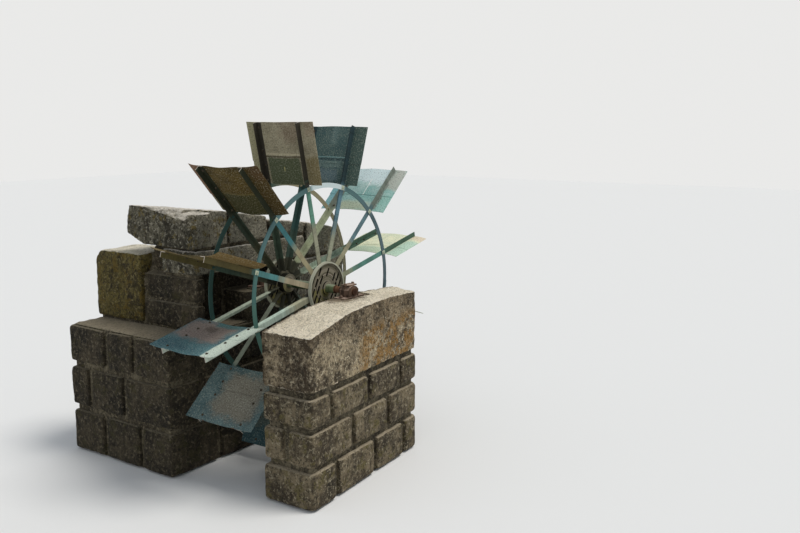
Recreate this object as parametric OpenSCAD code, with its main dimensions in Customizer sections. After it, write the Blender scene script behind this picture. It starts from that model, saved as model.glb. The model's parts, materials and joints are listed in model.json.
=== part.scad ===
// Undershot water wheel in its race: a steel wheel of twelve sheet paddles on
// angle-iron spokes, turning on a shaft between a concrete pier and a stone wall.
// X runs along the race in the direction the water flows, Y along the shaft away
// from the front pier, Z up. The ground under both piers is at Z = 0.

/* [Wheel] */
// Outer radius of the flat-bar ring on each side
ring_r = 990; // [800:5:1150]
// Radial width of the ring bar
ring_w = 45; // [25:1:80]
// Thickness of the ring bar
ring_t = 8; // [5:1:16]
// Distance over the outside faces of the two sets of spokes
frame_w = 518; // [400:2:620]
// Gap between the ring and the inner edge of a paddle
paddle_gap = 10; // [4:1:40]
// Depth of a paddle from its inner edge to its tip
paddle_depth = 580; // [420:5:760]
// Angle of the first spoke above the level
phase = 12; // [0:1:29]

/* [Paddles] */
// Width of a paddle along the shaft
paddle_w = 800; // [660:5:860]
// Thickness of the paddle sheet
sheet_t = 4; // [2:0.5:8]
// Depth of the inner sheet of a paddle, as far as the edge of the outer sheet
inner_sheet = 210; // [120:5:300]
// How far the inner sheet is lapped behind the outer one
lap_w = 36; // [15:1:60]

/* [Spokes] */
// Leg of the angle iron
angle_leg = 50; // [35:1:60]
// Thickness of the angle iron
angle_t = 5; // [3:0.5:9]
// Radius at which the spokes start, round the hub boss
spoke_start_r = 122; // [112:1:160]

/* [Hub discs] */
// Radius of the cast disc
disc_r = 250; // [200:1:300]
// Thickness of the web of the disc
disc_t = 16; // [10:1:30]
// Thickness of the raised rim
rim_h = 30; // [20:1:45]
// Width of the raised rim
rim_w = 16; // [8:1:30]
// Radius of the boss behind the disc
boss_r = 92; // [70:1:105]
// Length of the boss behind the disc
boss_l = 70; // [40:1:110]
// Width of a slot in the disc
slot_w = 22; // [8:1:28]
// Length of a slot in the disc
slot_l = 86; // [50:1:88]
// Distance between two columns of slots
slot_pitch = 54; // [40:1:56]
// Distance between two slots of one column
slot_step = 104; // [100:1:108]
// Angle between the slots and the first spoke
slot_lean = 50; // [0:1:60]

/* [Shaft] */
// Radius of the pipe between the hubs
shaft_r = 40; // [30:1:48]
// Radius of the journal at each end
journal_r = 30; // [20:1:38]
// Length of each journal
journal_l = 226; // [190:1:250]
// How far the shaft reaches beyond the outer face of each bearing
shaft_over = 18; // [5:1:60]

/* [Bearings] */
// Height of the shaft over the seat of its bearings
bearing_h = 62; // [56:1:90]
// Length of the bearing along the shaft
bearing_l = 104; // [70:1:130]
// Width of the bearing housing across the shaft
housing_w = 150; // [120:1:190]
// Width of the sill under the housing
sill_w = 300; // [230:1:360]
// Length of the sill along the shaft
sill_l = 126; // [110:1:140]
// Thickness of the sill
sill_t = 16; // [8:1:24]
// Thickness of the metal of the cap over the journal
cap_wall = 24; // [14:1:32]
// Distance between the two studs of a bearing
stud_pitch = 112; // [100:1:118]
// Radius of the studs and their washers
stud_r = 9; // [6:1:11]
// Distance from the race side of a pier to the sill
sill_inset = 8; // [2:1:20]

/* [Race] */
// Clear width of the race between the pier and the wall
race_w = 940; // [900:5:1100]
// Clearance between the lowest paddle tip and the ground
bed_gap = 60; // [20:5:300]

/* [Front pier] */
// Length of the pier upstream of the shaft
pier_up = 1140; // [800:10:1500]
// Length of the pier downstream of the shaft
pier_down = 810; // [600:10:1200]
// Thickness of the pier at its upstream end
pier_t = 560; // [400:10:800]
// Thickness of the pier at its downstream end
pier_t_down = 420; // [320:10:700]
// How far the top has worn down at the upstream end
pier_wear_up = 130; // [20:1:200]
// How far the top has worn down at the downstream end
pier_wear_down = 40; // [10:1:150]
// Depth of the pocket in the top of the pier, in which the bearing stands
pocket_h = 42; // [5:1:54]
// Room round the sill in that pocket
pocket_gap = 30; // [10:1:60]
// How far the near side of the pier stops short of its downstream end
pier_skew = 150; // [80:5:250]
// Size of the broken upright edges of the pier
pier_chamfer = 40; // [15:5:80]
// Depth of the cast concrete below the shaft, over the courses of stone
cast_drop = 660; // [500:10:900]

/* [Courses] */
// How far the joints between the squared stones are raked back
joint_rake = 42; // [10:1:60]
// Width of those joints
joint_w = 30; // [10:1:50]

/* [Rear wall] */
// Upstream face of the wall, from the shaft
stack_up = 950; // [880:10:1100]
// Width of that face, away from the race
stack_w = 1430; // [1250:10:1700]
// Length of the stones of that face along the race
stack_l = 500; // [400:10:600]
// Length of the wall downstream of the shaft
wall_down = 1250; // [1000:10:1500]
// Thickness of the wall along the race
wall_t = 500; // [420:10:700]
// Height of the footing below the shaft
footing_drop = 360; // [250:5:450]
// How far the footing stands out upstream of the wall
toe = 360; // [100:10:500]
// Upstream side of the bearing niche, from the shaft
niche_up = 800; // [600:10:840]
// Downstream side of the bearing niche, from the shaft
niche_down = 450; // [340:10:520]
// Depth of the bearing niche
niche_d = 350; // [300:5:380]
// Height of the roof of the niche over the shaft
niche_h = 150; // [130:5:200]
// Depth of the long lintel stone over the niche
lintel_h = 250; // [180:5:320]
// Bearing of the lintel stone on the downstream side of the niche
lintel_seat = 150; // [100:5:240]
// Half width of the plinth that carries the rear bearing
plinth_half = 300; // [200:5:340]
// Height of the lowest stone beside the niche
low_h = 260; // [150:10:350]
// Width of the two stones beside the niche, away from the race
low_w = 730; // [600:10:900]
// Height of the tall end stone over the footing
end_stone_h = 690; // [500:10:750]
// Height of the great stone on the lintel
great_h = 387; // [300:1:480]
// Width of the great stone, away from the race
great_w = 940; // [800:10:1100]
// Joint between the second and the third top stone, downstream of the shaft
top_joint = 50; // [0:5:150]
// Height of the second top stone at its upstream end
second_rise = 338; // [260:1:380]
// Height of the third top stone at its upstream end
third_rise = 215; // [160:5:250]
// Height of the last top stone over the bed of the third
fourth_rise = 140; // [80:5:160]

/* [Hidden] */
paddle_count = 12;
$fn = 64;

// Sizes that follow from the ones above
pitch_angle = 360 / paddle_count;
paddle_in_r = ring_r + paddle_gap;
paddle_tip_r = paddle_in_r + paddle_depth;
lap_r = paddle_in_r + inner_sheet;
shaft_z = paddle_tip_r + bed_gap;
half_frame = frame_w / 2;
half_paddle = paddle_w / 2;
half_race = race_w / 2;
collar_r = shaft_r + 22;
hub_fit = 0.2;
running_fit = 0.06;
joint_fit = 0.3;
lap_press = 0.5;
lap_inset = 4;
great_l = stack_l * 0.9;
bearing_in = half_race + sill_inset + (sill_l - bearing_l) / 2;
shaft_end = bearing_in + bearing_l + shaft_over;

// Heights of the beds over the shaft and places of the joints along the wall
coping_bed = niche_h + lintel_h;
lintel_down = niche_down + lintel_seat;
great_end = -stack_up + great_l;
stack_end = -stack_up + stack_l;

// Beds of the courses as shares of their height, from the ground, the upright joints of
// each course as shares of its length, and those of its upstream end as shares of its width
pier_beds = [0, 0.36, 0.70, 1];
pier_joints = [[0.20, 0.52, 0.79], [0.33, 0.64], [0.16, 0.47, 0.76]];
pier_ends = [[], [0.55], []];
footing_beds = [0, 0.34, 0.68, 1];
footing_joints = [[0.24, 0.46, 0.74], [0.17, 0.35, 0.60, 0.84], [0.26, 0.50, 0.77]];
footing_ends = [[0.30, 0.66], [0.45, 0.80], [0.34, 0.62]];

// Places of the slots in one half of a disc: the column, and the share of a step along it
slot_places = [[1, 1.35], [1, -1.30], [2, 0.42], [2, -0.56], [2, -1.48],
    [3, 0.96], [3, -0.08], [3, -1.04], [4, 0]];

// The way each paddle has been bent: how far its two overhanging ends curl back
// and how far the sheet between the spokes is pushed forward
curl_front = [18, 12, 14, 10, 26, 46, 34, 22, 16, 12, 20, 14];
curl_rear = [12, 10, 8, 12, 20, 22, 14, 16, 12, 10, 14, 10];
belly = [8, 10, 14, 9, 16, 14, 12, 10, 8, 12, 9, 10];

// The origin stands on the ground under the middle of the whole plant's box
reach_down = paddle_tip_r * cos(phase) + (curl_front[0] + sheet_t) * sin(phase);
reach_up = paddle_tip_r * cos(phase) + (curl_front[6] + sheet_t) * sin(phase);
wheel_x = (reach_up - reach_down) / 2;
wheel_y = (pier_t - stack_w) / 2;

bare_steel = [0.34, 0.42, 0.42];
teal_paint = [0.24, 0.40, 0.42];
pale_paint = [0.55, 0.62, 0.55];
rust = [0.33, 0.20, 0.14];
concrete = [0.62, 0.58, 0.50];
stone = [0.50, 0.48, 0.43];
dark_stone = [0.36, 0.36, 0.31];

// Puts its children on the centre of the wheel
module at_shaft() {
    translate([wheel_x, wheel_y, shaft_z]) children();
}

// Places its children on the front side of the wheel, or mirrored on the rear side
module on_side(side) {
    at_shaft() mirror([0, side < 0 ? 0 : 1, 0]) children();
}

// Turns its children from the X axis up to the given spoke of the wheel
module on_spoke(k) {
    at_shaft() rotate([0, -(phase + pitch_angle * (k - 1)), 0]) children();
}

// Turns a drawing of X and Z into a slab from near_y to far_y
module slab_y(near_y, far_y) {
    translate([0, far_y, 0]) rotate([90, 0, 0]) linear_extrude(far_y - near_y) children();
}

// A round bar along Y between two places
module bar_y(r, from_y, to_y) {
    translate([0, to_y, 0]) rotate([90, 0, 0]) cylinder(r = r, h = to_y - from_y);
}

// How far the face of a paddle stands forward at the place y of its width
function face_at(y, curl, push) =
    let (a = abs(y), leg_in = half_frame - angle_leg)
    a < leg_in ? push * pow(cos(90 * a / leg_in), 2)
    : a <= half_frame ? 0
    : -curl * pow((a - half_frame) / (half_paddle - half_frame), 2);

// Places along the width of a paddle where its outline has a corner, with its two ends
// drawn in by inset
function paddle_stations(inset) =
    let (leg_in = half_frame - angle_leg, over = half_paddle - inset - half_frame)
    concat([for (i = [0:3]) -half_frame - over * (4 - i) / 4],
           [-half_frame],
           [for (i = [0:11]) -leg_in + leg_in * i / 6],
           [leg_in, half_frame],
           [for (i = [1:4]) half_frame + over * i / 4]);

// Outline of the bent sheet: its front face and, a sheet thickness behind, its back
module sheet_outline(k, inset) {
    ys = paddle_stations(inset);
    n = len(ys) - 1;
    front = [for (y = ys) [y, face_at(y, y < 0 ? curl_front[k - 1] : curl_rear[k - 1], belly[k - 1])]];
    back = [for (i = [n:-1:0]) [ys[i], front[i][1] - sheet_t]];
    polygon(concat(front, back));
}

// A strip of the sheet between two radii, set back by drop
module sheet_strip(k, from_r, to_r, drop, inset) {
    translate([from_r, 0, -drop]) rotate([90, 0, 90]) linear_extrude(to_r - from_r) sheet_outline(k, inset);
}

// A paddle is an outer sheet on the spokes and a narrower inner sheet riveted behind its edge
module paddle(k) {
    color(k % 2 == 0 ? teal_paint : pale_paint) on_spoke(k) union() {
        sheet_strip(k, lap_r, paddle_tip_r, 0, 0);
        sheet_strip(k, paddle_in_r, lap_r + lap_w, sheet_t - lap_press, lap_inset);
    }
}

// An angle iron with one leg flat on the paddle and one in the side of the wheel
module spoke_angle() {
    translate([spoke_start_r, 0, 0]) rotate([90, 0, 90]) linear_extrude(paddle_tip_r - spoke_start_r)
        polygon([[half_frame, 0], [half_frame, angle_leg], [half_frame - angle_t, angle_leg],
                 [half_frame - angle_t, angle_t], [half_frame - angle_leg, angle_t],
                 [half_frame - angle_leg, 0]]);
}

module spoke_pair(k) {
    color(teal_paint) on_spoke(k) {
        spoke_angle();
        mirror([0, 1, 0]) spoke_angle();
    }
}

// A flat-bar ring bolted on the outside of the spokes, its ends joined by a splice plate
module ring(side) {
    splice_from = -8;
    splice_angle = 4;
    splice_inset = 6;
    color(bare_steel) on_side(side) {
        difference() {
            bar_y(ring_r, -half_frame - ring_t, -half_frame);
            bar_y(ring_r - ring_w, -half_frame - 2 * ring_t, -half_frame + ring_t);
        }
        translate([0, -half_frame - ring_t, 0]) rotate([90, 0, 0]) rotate([0, 0, splice_from])
            rotate_extrude(angle = splice_angle) translate([ring_r - ring_w + splice_inset, -1])
                square([ring_w - 2 * splice_inset, ring_t + 1]);
    }
}

// One slot with round ends, lying along X of the drawing
module slot() {
    half = (slot_l - slot_w) / 2;
    square([2 * half, slot_w], center = true);
    for (s = [-1, 1]) translate([s * half, 0]) circle(d = slot_w, $fn = 24);
}

// The slots of both halves of a disc, those of the second half turned by half a turn
module slots() {
    clear = 3;
    for (half = [0, 1], place = slot_places) {
        along = place[1] * slot_step;
        across = place[0] * slot_pitch;
        far = norm([abs(along) + slot_l / 2, across + slot_w / 2]);
        near = norm([max(0, abs(along) - slot_l / 2), across - slot_w / 2]);
        if (far < disc_r - rim_w - clear / 2 && near > collar_r + clear)
            rotate(180 * half) translate([along, across]) slot();
    }
}

// A cast disc with a raised rim and rows of slots, on a boss that grips the shaft
module hub_disc(side) {
    color(pale_paint) on_side(side) difference() {
        union() {
            bar_y(disc_r, -half_frame - disc_t, -half_frame);
            bar_y(boss_r, -half_frame, -half_frame + boss_l);
            difference() {
                bar_y(disc_r, -half_frame - rim_h, -half_frame - disc_t);
                bar_y(disc_r - rim_w, -half_frame - rim_h - 1, -half_frame);
            }
            bar_y(collar_r, -half_frame - rim_h, -half_frame);
        }
        bar_y(shaft_r + hub_fit, -half_frame - rim_h - 1, -half_frame + boss_l + 1);
        slab_y(-half_frame - rim_h - 1, -half_frame + 1) rotate(phase + slot_lean) slots();
    }
}

// A pipe with a turned journal at each end
module shaft() {
    pipe_end = shaft_end - journal_l;
    color(bare_steel) at_shaft() {
        bar_y(shaft_r, -pipe_end, pipe_end);
        bar_y(journal_r, -shaft_end, -pipe_end);
        bar_y(journal_r, pipe_end, shaft_end);
    }
}

// A flat plate bedded on the pier under the bearing
module sill(side) {
    low = half_race + sill_inset;
    color(rust) on_side(side)
        translate([-sill_w / 2, -low - sill_l, -bearing_h]) cube([sill_w, sill_l, sill_t]);
}

// Lower half of the bearing, with a half-round seat for the journal
module bearing(side) {
    color(rust) on_side(side) difference() {
        slab_y(-bearing_in - bearing_l, -bearing_in) polygon([
            [-housing_w / 2, sill_t - bearing_h], [housing_w / 2, sill_t - bearing_h],
            [housing_w / 2, 0], [-housing_w / 2, 0]]);
        bar_y(journal_r + running_fit, -bearing_in - bearing_l - 1, -bearing_in + 1);
    }
}

// Upper half of the bearing: an arched strap with a flat plate and two studs on top
module bearing_cap(side) {
    plate_z = journal_r + cap_wall;
    plate_t = cap_wall / 2;
    plate_w = housing_w * 0.84;
    arch_from = 50;
    shoulder = cap_wall * 0.7;
    color(rust) on_side(side) {
        difference() {
            slab_y(-bearing_in - bearing_l, -bearing_in) polygon(concat(
                [[-housing_w / 2, joint_fit], [housing_w / 2, joint_fit], [housing_w / 2, shoulder]],
                [for (a = [arch_from:10:180 - arch_from])
                    plate_z * [cos(a) / cos(arch_from) * 0.9, sin(a)]],
                [[-housing_w / 2, shoulder]]));
            bar_y(journal_r + running_fit, -bearing_in - bearing_l - 1, -bearing_in + 1);
        }
        translate([-plate_w / 2, -bearing_in - bearing_l * 0.9, plate_z - 2])
            cube([plate_w, bearing_l * 0.8, plate_t]);
        for (s = [-1, 1]) translate([s * stud_pitch / 2, -bearing_in - bearing_l / 2, joint_fit])
            cylinder(r = stud_r, h = plate_z + plate_t + stud_r * 1.5, $fn = 24);
    }
}

// Squared stones: the first child is their whole mass, the second the core behind the
// raked joints. All joints are cut from the ground up to the height.
module coursed(beds, joints, ends, from_x, to_x, from_y, to_y, height) {
    difference() {
        children(0);
        difference() {
            at_shaft() translate([0, 0, -shaft_z]) {
                for (b = [1:len(beds) - 1]) translate([from_x - 1, from_y - 1, beds[b] * height - joint_w / 2])
                    cube([to_x - from_x + 2, to_y - from_y + 2, joint_w]);
                for (c = [0:len(joints) - 1]) translate([0, 0, beds[c] * height - 1]) {
                    bed_h = (beds[c + 1] - beds[c]) * height + 1;
                    for (share = joints[c])
                        translate([from_x + share * (to_x - from_x) - joint_w / 2, from_y - 1, 0])
                            cube([joint_w, to_y - from_y + 2, bed_h]);
                    for (share = ends[c])
                        translate([from_x - 1, from_y + share * (to_y - from_y) - joint_w / 2, 0])
                            cube([joint_rake * 2, joint_w, bed_h]);
                }
            }
            children(1);
        }
    }
}

// Plan of the pier, with all its sides drawn in by inset
function pier_plan(inset) = let (near = -half_race - pier_t, near_down = -half_race - pier_t_down) [
    [-pier_up + inset, -half_race - inset],
    [-pier_up + inset, near + pier_chamfer + inset / 2],
    [-pier_up + pier_chamfer + inset / 2, near + inset],
    [pier_down - pier_skew - pier_chamfer - inset / 2, near_down + inset],
    [pier_down - pier_skew - inset, near_down + pier_chamfer + inset / 2],
    [pier_down - inset * 1.5, -half_race - inset]];

// Concrete cast on courses of stone, with a top that has worn lowest at its ends and a
// pocket for the bearing
module pier_mass() {
    top = pocket_h - bearing_h;
    pocket_x = sill_w / 2 + pocket_gap;
    pocket_y = sill_inset + sill_l + pocket_gap;
    at_shaft() difference() {
        intersection() {
            slab_y(-half_race - pier_t, -half_race) polygon([
                [-pier_up, -shaft_z], [pier_down, -shaft_z], [pier_down, top - pier_wear_down],
                [pocket_x, top], [-pocket_x, top], [-pier_up / 2, top - pier_wear_up / 6],
                [-pier_up, top - pier_wear_up]]);
            translate([0, 0, -shaft_z]) linear_extrude(shaft_z) polygon(pier_plan(0));
        }
        translate([-pocket_x, -half_race - pocket_y, -bearing_h])
            cube([2 * pocket_x, pocket_y + 1, pocket_h + 1]);
    }
}

module front_pier() {
    color(concrete) coursed(pier_beds, pier_joints, pier_ends, -pier_up, pier_down,
        -half_race - pier_t, -half_race, shaft_z - cast_drop) {
        pier_mass();
        at_shaft() translate([0, 0, -shaft_z - 2]) linear_extrude(shaft_z - cast_drop / 2)
            polygon(pier_plan(joint_rake));
    }
}

// A stone of the wall: its outline along the race, from near the race to the back
module stone_slab(outline, front_set = 0) {
    at_shaft() slab_y(half_race + front_set, half_race + wall_t) polygon(outline);
}

// A stone with an upright outline in plan, between two heights over the shaft
module stone_block(plan, from_z, to_z) {
    at_shaft() translate([0, 0, from_z]) linear_extrude(to_z - from_z) polygon(plan);
}

// Plan of the footing: broad under the upstream face, narrow along the race
function footing_plan(inset) = let (near = half_race + inset) [
    [-stack_up - toe + inset, near], [wall_down - inset, near],
    [wall_down - inset, half_race + wall_t - inset], [stack_end - inset, half_race + wall_t - inset],
    [stack_end - inset, half_race + stack_w - inset], [-stack_up - toe + inset, half_race + stack_w - inset]];

module rear_footing() {
    color(dark_stone) coursed(footing_beds, footing_joints, footing_ends, -stack_up - toe, wall_down,
        half_race, half_race + stack_w, shaft_z - footing_drop) {
        stone_block(footing_plan(0), -shaft_z, -footing_drop);
        stone_block(footing_plan(joint_rake), -shaft_z - 2, -footing_drop + joint_w);
    }
}

module rear_plinth() {
    color(dark_stone) at_shaft() translate([-plinth_half, half_race, -footing_drop])
        cube([2 * plinth_half, niche_d, footing_drop - bearing_h]);
}

module niche_back() {
    color(dark_stone) stone_slab([[-niche_up, -footing_drop], [niche_down, -footing_drop],
        [niche_down, niche_h], [-niche_up, niche_h]], niche_d);
}

module niche_jamb() {
    color(stone) stone_slab([[niche_down, -footing_drop], [wall_down, -footing_drop],
        [wall_down, niche_h], [niche_down, niche_h]]);
}

module niche_lintel() {
    color(stone) stone_slab([[-stack_up, niche_h], [lintel_down, niche_h],
        [lintel_down, coping_bed], [-stack_up, coping_bed]]);
}

// Plan of the two stones beside the niche, which turn the corner behind its back stone
corner_plan = [[-stack_up, half_race], [-niche_up, half_race], [-niche_up, half_race + wall_t],
    [stack_end, half_race + wall_t], [stack_end, half_race + low_w], [-stack_up, half_race + low_w]];

module stack_stone_low() {
    color(dark_stone) stone_block(corner_plan, -footing_drop, low_h - footing_drop);
}

module stack_stone_mid() {
    color(dark_stone) stone_block(corner_plan, low_h - footing_drop, niche_h);
}

// A short stone set back behind the end of the lintel, under the great stone
module stack_stone_high() {
    back = stack_l / 4;
    color(dark_stone) stone_block([[-stack_up + back, half_race + wall_t], [great_end, half_race + wall_t],
        [great_end, half_race + low_w], [-stack_up + back, half_race + low_w]], niche_h, coping_bed);
}

module stack_stone_end() {
    proud = 20;
    color(stone) stone_block([[-stack_up - proud, half_race + low_w], [stack_end, half_race + low_w],
        [stack_end, half_race + stack_w], [-stack_up - proud, half_race + stack_w]],
        -footing_drop, end_stone_h - footing_drop);
}

// The great stone across the upstream end: its far lower edge is broken away, its top
// falls along the race, and a piece has gone from the corner over the race
module coping_stone_1() {
    far = half_race + great_w;
    top = coping_bed + great_h;
    chip = great_l / 3;
    color(stone) at_shaft() difference() {
        intersection() {
            slab_y(half_race, far) polygon([[-stack_up, coping_bed], [great_end, coping_bed],
                [great_end, coping_bed + second_rise], [-stack_up, top]]);
            translate([-stack_up, 0, 0]) rotate([90, 0, 90]) linear_extrude(great_l) polygon([
                [half_race, coping_bed], [far - great_w / 4, coping_bed], [far - 10, coping_bed + great_h / 4],
                [far, coping_bed + great_h * 0.6], [far - great_w / 20, top], [half_race, top]]);
        }
        translate([-stack_up + chip / 2, half_race - 1, coping_bed + great_h * 0.86])
            cube([chip, great_w / 4, great_h]);
    }
}

module coping_stone_2() {
    color(stone) stone_slab([[great_end, coping_bed], [top_joint, coping_bed],
        [top_joint, coping_bed + second_rise * 0.75], [great_end, coping_bed + second_rise]]);
}

module coping_stone_3() {
    color(stone) stone_slab([[top_joint, coping_bed], [lintel_down, coping_bed],
        [lintel_down, coping_bed + fourth_rise], [top_joint, coping_bed + third_rise]]);
}

module coping_stone_4() {
    slope = (wall_down - lintel_down) * 0.15;
    color(stone) stone_slab([[lintel_down, niche_h], [wall_down, niche_h],
        [wall_down, niche_h + lintel_h * 0.26], [wall_down - slope, coping_bed + lintel_h * 0.12],
        [lintel_down, coping_bed + fourth_rise]]);
}

shaft();
hub_disc(-1);  // hub_disc_front
hub_disc(1);  // hub_disc_rear
ring(-1);  // ring_front
ring(1);  // ring_rear
for (k = [1:paddle_count]) paddle(k);
for (k = [1:paddle_count]) spoke_pair(k);
front_pier();
sill(-1);  // front_sill
bearing(-1);  // front_bearing
bearing_cap(-1);  // front_bearing_cap
sill(1);  // rear_sill
bearing(1);  // rear_bearing
bearing_cap(1);  // rear_bearing_cap
rear_plinth();
rear_footing();
niche_back();
niche_jamb();
niche_lintel();
stack_stone_low();
stack_stone_mid();
stack_stone_high();
stack_stone_end();
coping_stone_1();
coping_stone_2();
coping_stone_3();
coping_stone_4();
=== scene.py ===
import json
import math
import random

import bpy
from mathutils import Matrix, Vector


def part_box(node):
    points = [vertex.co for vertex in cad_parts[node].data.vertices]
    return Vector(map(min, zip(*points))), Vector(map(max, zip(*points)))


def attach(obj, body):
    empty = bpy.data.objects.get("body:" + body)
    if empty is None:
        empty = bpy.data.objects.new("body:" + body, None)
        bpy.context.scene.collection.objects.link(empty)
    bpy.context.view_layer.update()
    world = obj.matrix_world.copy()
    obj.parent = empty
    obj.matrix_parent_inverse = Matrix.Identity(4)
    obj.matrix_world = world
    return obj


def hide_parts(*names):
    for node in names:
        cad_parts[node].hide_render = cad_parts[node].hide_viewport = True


# The frame: the solids of the pier, the wall and the wheel, and the centre of the
# wheel on its shaft, from which every place on the wheel is measured.
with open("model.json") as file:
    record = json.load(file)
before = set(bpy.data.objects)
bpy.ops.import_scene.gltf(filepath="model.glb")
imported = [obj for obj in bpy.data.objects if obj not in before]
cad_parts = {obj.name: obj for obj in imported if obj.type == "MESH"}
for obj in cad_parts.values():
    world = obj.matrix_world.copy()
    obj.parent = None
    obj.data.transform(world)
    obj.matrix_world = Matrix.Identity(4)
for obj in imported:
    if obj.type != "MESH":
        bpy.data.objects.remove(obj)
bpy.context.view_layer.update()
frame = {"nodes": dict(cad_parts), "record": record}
wheel_x, wheel_y, shaft_z = frame["record"]["behaviour"]["joints"][0]["pos_m"]
wheel_centre = Vector((wheel_x, wheel_y, shaft_z))


# Camera: it stands upstream of the wheel and before the pier, a little above the
# shaft, and looks across the top of the pier at the disc and the paddles. The width of
# the image and the focal length are in pixels.
camera_turn, camera_dip = math.radians(55.8), math.radians(9.3)
image_width, focal_length = 800, 865
camera_data = bpy.data.cameras.new("photo_camera")
camera_data.sensor_width = 36.0
camera_data.lens = 36.0 * focal_length / image_width
camera = bpy.data.objects.new("photo_camera", camera_data)
bpy.context.scene.collection.objects.link(camera)
camera.location = wheel_centre + Vector((-6.25, -5.36, 1.52))
camera.rotation_euler = (math.pi / 2 - camera_dip, 0, -camera_turn)
bpy.context.scene.camera = camera


# Front pier, upper part: a mass of rough concrete cast on the courses of stone. Its top has worn
# to bare aggregate and its edges have crumbled; the top is painted pale as a highlight for the
# light from above.
pier_low, pier_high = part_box("front_pier")
pier_cast_height = 0.66
half_joint = 0.016


def only(piece):
    bpy.ops.object.select_all(action="DESELECT")
    piece.select_set(True)
    bpy.context.view_layer.objects.active = piece


def edit_all(piece):
    only(piece)
    bpy.ops.object.mode_set(mode="EDIT")
    bpy.ops.mesh.select_all(action="SELECT")


def leave_edit():
    bpy.ops.object.mode_set(mode="OBJECT")


def copy_of(node, name):
    """A closed copy of a solid of the frame, as one new piece that can be worked on."""
    mesh = frame["nodes"][node].data.copy()
    mesh.name = name
    mesh.materials.clear()
    piece = bpy.data.objects.new(name, mesh)
    bpy.context.scene.collection.objects.link(piece)
    edit_all(piece)
    bpy.ops.mesh.remove_doubles(threshold=0.0001)
    bpy.ops.mesh.dissolve_limited(angle_limit=math.radians(0.5))
    leave_edit()
    return piece


def saw(piece, place, direction):
    """Cuts the piece at a plane and keeps the side that the direction points away from."""
    edit_all(piece)
    bpy.ops.mesh.bisect(plane_co=place, plane_no=direction, use_fill=True, clear_outer=True)
    leave_edit()


def harden(piece, modifier):
    only(piece)
    bpy.ops.object.modifier_apply(modifier=modifier.name)


def divide_evenly(piece, size):
    even = piece.modifiers.new("even", "REMESH")
    even.mode = "VOXEL"
    even.voxel_size = size
    harden(piece, even)


def wear(piece, depth, size):
    """Wears the surface back unevenly, by up to the depth, in patches of the size."""
    patches = bpy.data.textures.new(piece.name + "_wear", "CLOUDS")
    patches.noise_scale = size
    patches.noise_depth = 2
    worn = piece.modifiers.new("worn", "DISPLACE")
    worn.texture = patches
    worn.texture_coords = "LOCAL"
    worn.mid_level = 1.0
    worn.strength = depth
    harden(piece, worn)


def weather(piece, corner, grain, rounding):
    """Breaks the corners of a block, divides it evenly and smooths the breaks."""
    broken = piece.modifiers.new("broken", "BEVEL")
    broken.width = corner
    broken.segments = 2
    broken.limit_method = "ANGLE"
    harden(piece, broken)
    divide_evenly(piece, grain)
    soft = piece.modifiers.new("soft", "SMOOTH")
    soft.iterations = rounding
    harden(piece, soft)


def finish_piece(piece, material, body):
    """Gives a made piece its material and its body."""
    piece.data.materials.clear()
    piece.data.materials.append(material)
    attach(piece, body)


def plug(tree, socket, value):
    if isinstance(value, bpy.types.NodeSocket):
        tree.links.new(value, socket)
    else:
        socket.default_value = value


def plug_all(tree, sockets, values):
    for label, value in values.items():
        plug(tree, sockets[label], value)


def noise(tree, vector, scale, detail=4.0, rough=0.55):
    made = tree.nodes.new("ShaderNodeTexNoise")
    plug_all(tree, made.inputs,
             {"Vector": vector, "Scale": scale, "Detail": detail, "Roughness": rough})
    return made.outputs["Fac"]


def math_node(tree, operation, first, second=0.0):
    made = tree.nodes.new("ShaderNodeMath")
    made.operation = operation
    plug(tree, made.inputs[0], first)
    plug(tree, made.inputs[1], second)
    return made.outputs[0]


def plus(tree, first, second):
    return math_node(tree, "ADD", first, second)


def minus(tree, first, second):
    return math_node(tree, "SUBTRACT", first, second)


def times(tree, first, second):
    return math_node(tree, "MULTIPLY", first, second)


def larger(tree, first, second):
    return math_node(tree, "MAXIMUM", first, second)


def weighted_sum(tree, *parts):
    """The sum of values, each times its weight."""
    total = times(tree, *parts[0])
    for part in parts[1:]:
        total = plus(tree, total, times(tree, *part))
    return total


def between(tree, value, low, high, low_out=0.0, high_out=1.0):
    """A smooth step from one result at low to the other at high."""
    made = tree.nodes.new("ShaderNodeMapRange")
    made.interpolation_type = "SMOOTHSTEP"
    plug_all(tree, made.inputs, {"Value": value, "From Min": low, "From Max": high,
                                 "To Min": low_out, "To Max": high_out})
    return made.outputs["Result"]


def srgb(red, green, blue):
    """A colour as seen on a screen, in steps of 255, as the linear colour of a shader."""
    def linear(step):
        part = step / 255
        return part / 12.92 if part <= 0.04045 else ((part + 0.055) / 1.055) ** 2.4
    return (linear(red), linear(green), linear(blue), 1.0)


def blend(tree, factor, first, second):
    """Mixes two colours, each made by a node or given as seen on a screen."""
    made = tree.nodes.new("ShaderNodeMix")
    made.data_type = "RGBA"
    plug(tree, made.inputs[0], factor)
    for socket, colour in ((made.inputs[6], first), (made.inputs[7], second)):
        plug(tree, socket, srgb(*colour) if isinstance(colour, tuple) else colour)
    return made.outputs[2]


def raise_bumps(tree, height, strength, distance):
    made = tree.nodes.new("ShaderNodeBump")
    plug_all(tree, made.inputs, {"Strength": strength, "Distance": distance, "Height": height})
    return made.outputs["Normal"]


def split(tree, vector):
    made = tree.nodes.new("ShaderNodeSeparateXYZ")
    plug(tree, made.inputs[0], vector)
    return made.outputs


def new_material(name):
    material = bpy.data.materials.new(name)
    material.use_nodes = True
    tree = material.node_tree
    return material, tree, tree.nodes["Principled BSDF"].inputs


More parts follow.
